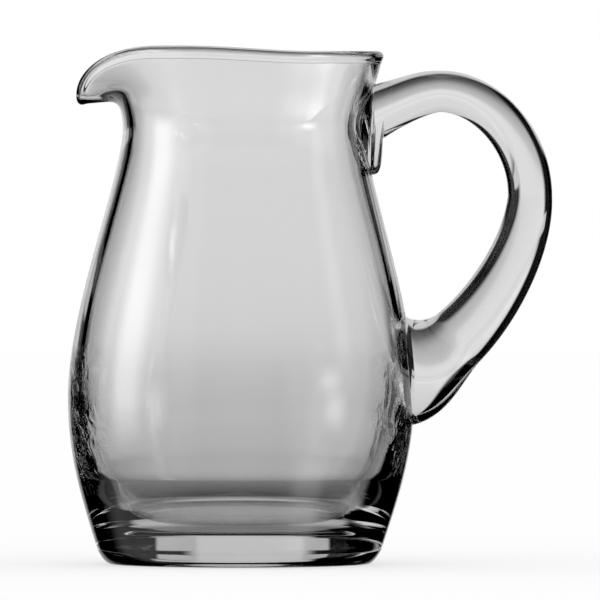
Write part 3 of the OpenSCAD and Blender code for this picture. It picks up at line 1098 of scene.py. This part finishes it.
# %% Cards round the pitcher
cards = {
    "upper_sheet": (2.5, 25, 2, 5, no_edge, 2, 0.7),
    "left_softbox": (-95, 28, 8, -12, 27, 6, 1.1),
    "left_core": (-97, 11, 8, -8, 26, 9, 4.6),
    "left_low": (-92, 30, 10, -60, -14, 8, 0.55),
    "left_front": (-132, 14, 8, -36, 2, 8, 0.35),
    "right_front_low": (127, 12, 7, -34, -19, 5, 1.3),
    "right_front": (135, 14, 8, -36, 5, 8, 0.5),
    "front": (180, 28, 12, -36, 6, 12, 0.2),
}
for values in cards.values():
    total = add(tree, "ShaderNodeMath", {0: total, 1: card(*values)}, operation="ADD").outputs[0]
print(f"{len(cards)} cards")

# %% [markdown]
# ## Table and paper white
# Seen from above, the glass would be black, because rays through it go down past the cards. There they see
# the pale table. It starts lower behind the pitcher, where the dark lines of the low walls come from. And
# through the glass nothing is brighter than paper, so that no card clips to white when it stands behind the
# pitcher.

# %% Table and paper white
rays = add(tree, "ShaderNodeLightPath").outputs
table_level = 0.6
table_fade = 4
table_sides = card(180, 139, table_fade, -no_edge, -17, table_fade, table_level)
table_back = card(0, 46, table_fade, -no_edge, -38, table_fade, table_level)
table = add(tree, "ShaderNodeMath", {0: table_sides, 1: table_back}, operation="MAXIMUM")
table = add(tree, "ShaderNodeMath", {
    0: table.outputs[0], 1: rays["Is Transmission Ray"],
}, operation="MULTIPLY")
total = add(tree, "ShaderNodeMath", {0: total, 1: table.outputs[0]}, operation="MAXIMUM").outputs[0]

paper_white = 0.85
capped = add(tree, "ShaderNodeMath", {0: total, 1: paper_white}, operation="MINIMUM").outputs[0]
total = add(tree, "ShaderNodeMix", {
    "Factor": rays["Is Transmission Ray"], "A": total, "B": capped,
}).outputs[0]
print(f"table at {table_level}, light through the glass up to {paper_white}")

# %% [markdown]
# ## Strips on the right
# The highlight on the right is narrow and short, a reflection of a strip light. Such a strip is small
# enough to stay out of the cap above. Last, the background: the picture's is plain white, so only rays that
# come by way of the glass see the studio, and the camera sees white.

# %% Strips on the right
strips = {
    "right_strip_low": (114, 7, 6, -9, -1, 5, 4.2),
    "right_strip_high": (104, 6, 5, 0, 26, 6, 0.6),
}
for values in strips.values():
    total = add(tree, "ShaderNodeMath", {0: total, 1: card(*values)}, operation="ADD").outputs[0]

background_white = 1.0
by_glass = add(tree, "ShaderNodeMath", {
    0: rays["Is Glossy Ray"], 1: rays["Is Transmission Ray"],
}, operation="MAXIMUM")
shown = add(tree, "ShaderNodeMix", {"Factor": by_glass.outputs[0], "A": background_white, "B": total})
light = add(tree, "ShaderNodeBackground", {"Color": linear("#FFFFFF"), "Strength": shown.outputs[0]})
add(tree, "ShaderNodeOutputWorld", {"Surface": light.outputs[0]})
print(f"{len(strips)} strips, white background")

# %% [markdown]
# ## Camera
# The picture was taken from the side and from a little above, with a long lens: the foot and the rim are
# almost straight lines. The lens follows from the distance and from the scale of the picture, and the aim
# puts the axis and the foot of the pitcher on their pixels.

# %% Camera
picture_side = 600
axis_px = 241.8
base_px = 563.6
mm_per_px = 0.27
view_tilt = math.radians(0.9)
view_distance = 4450
view_end = 20
camera_data = bpy.data.cameras.new("camera")
camera = bpy.data.objects.new("camera", camera_data)
bpy.context.scene.collection.objects.link(camera)
bpy.context.scene.camera = camera
aim_x = (picture_side / 2 - axis_px) * mm_per_px
aim_z = (base_px - picture_side / 2) * mm_per_px
aim = Vector((aim_x, 0, aim_z)) * MM
back = Vector((0, -math.cos(view_tilt), math.sin(view_tilt)))
camera.location = aim + back * view_distance * MM
camera.rotation_euler = (-back).to_track_quat("-Z", "Y").to_euler()
camera_data.lens = camera_data.sensor_width * view_distance / (picture_side * mm_per_px)
camera_data.clip_end = view_end
bpy.context.scene.view_settings.view_transform = "Standard"
print(f"lens {camera_data.lens:.0f} mm at {view_distance / 1000:.2f} m")

# %% [markdown]
# ## Hand the pieces over
# The pitcher is one rigid body, so both pieces ride on it. Each stands for the solid of its name.

# %% Hand the pieces over
for piece, node in ((vessel, "vessel"), (handle, "handle")):
    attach(piece, "root")
    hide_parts(node)
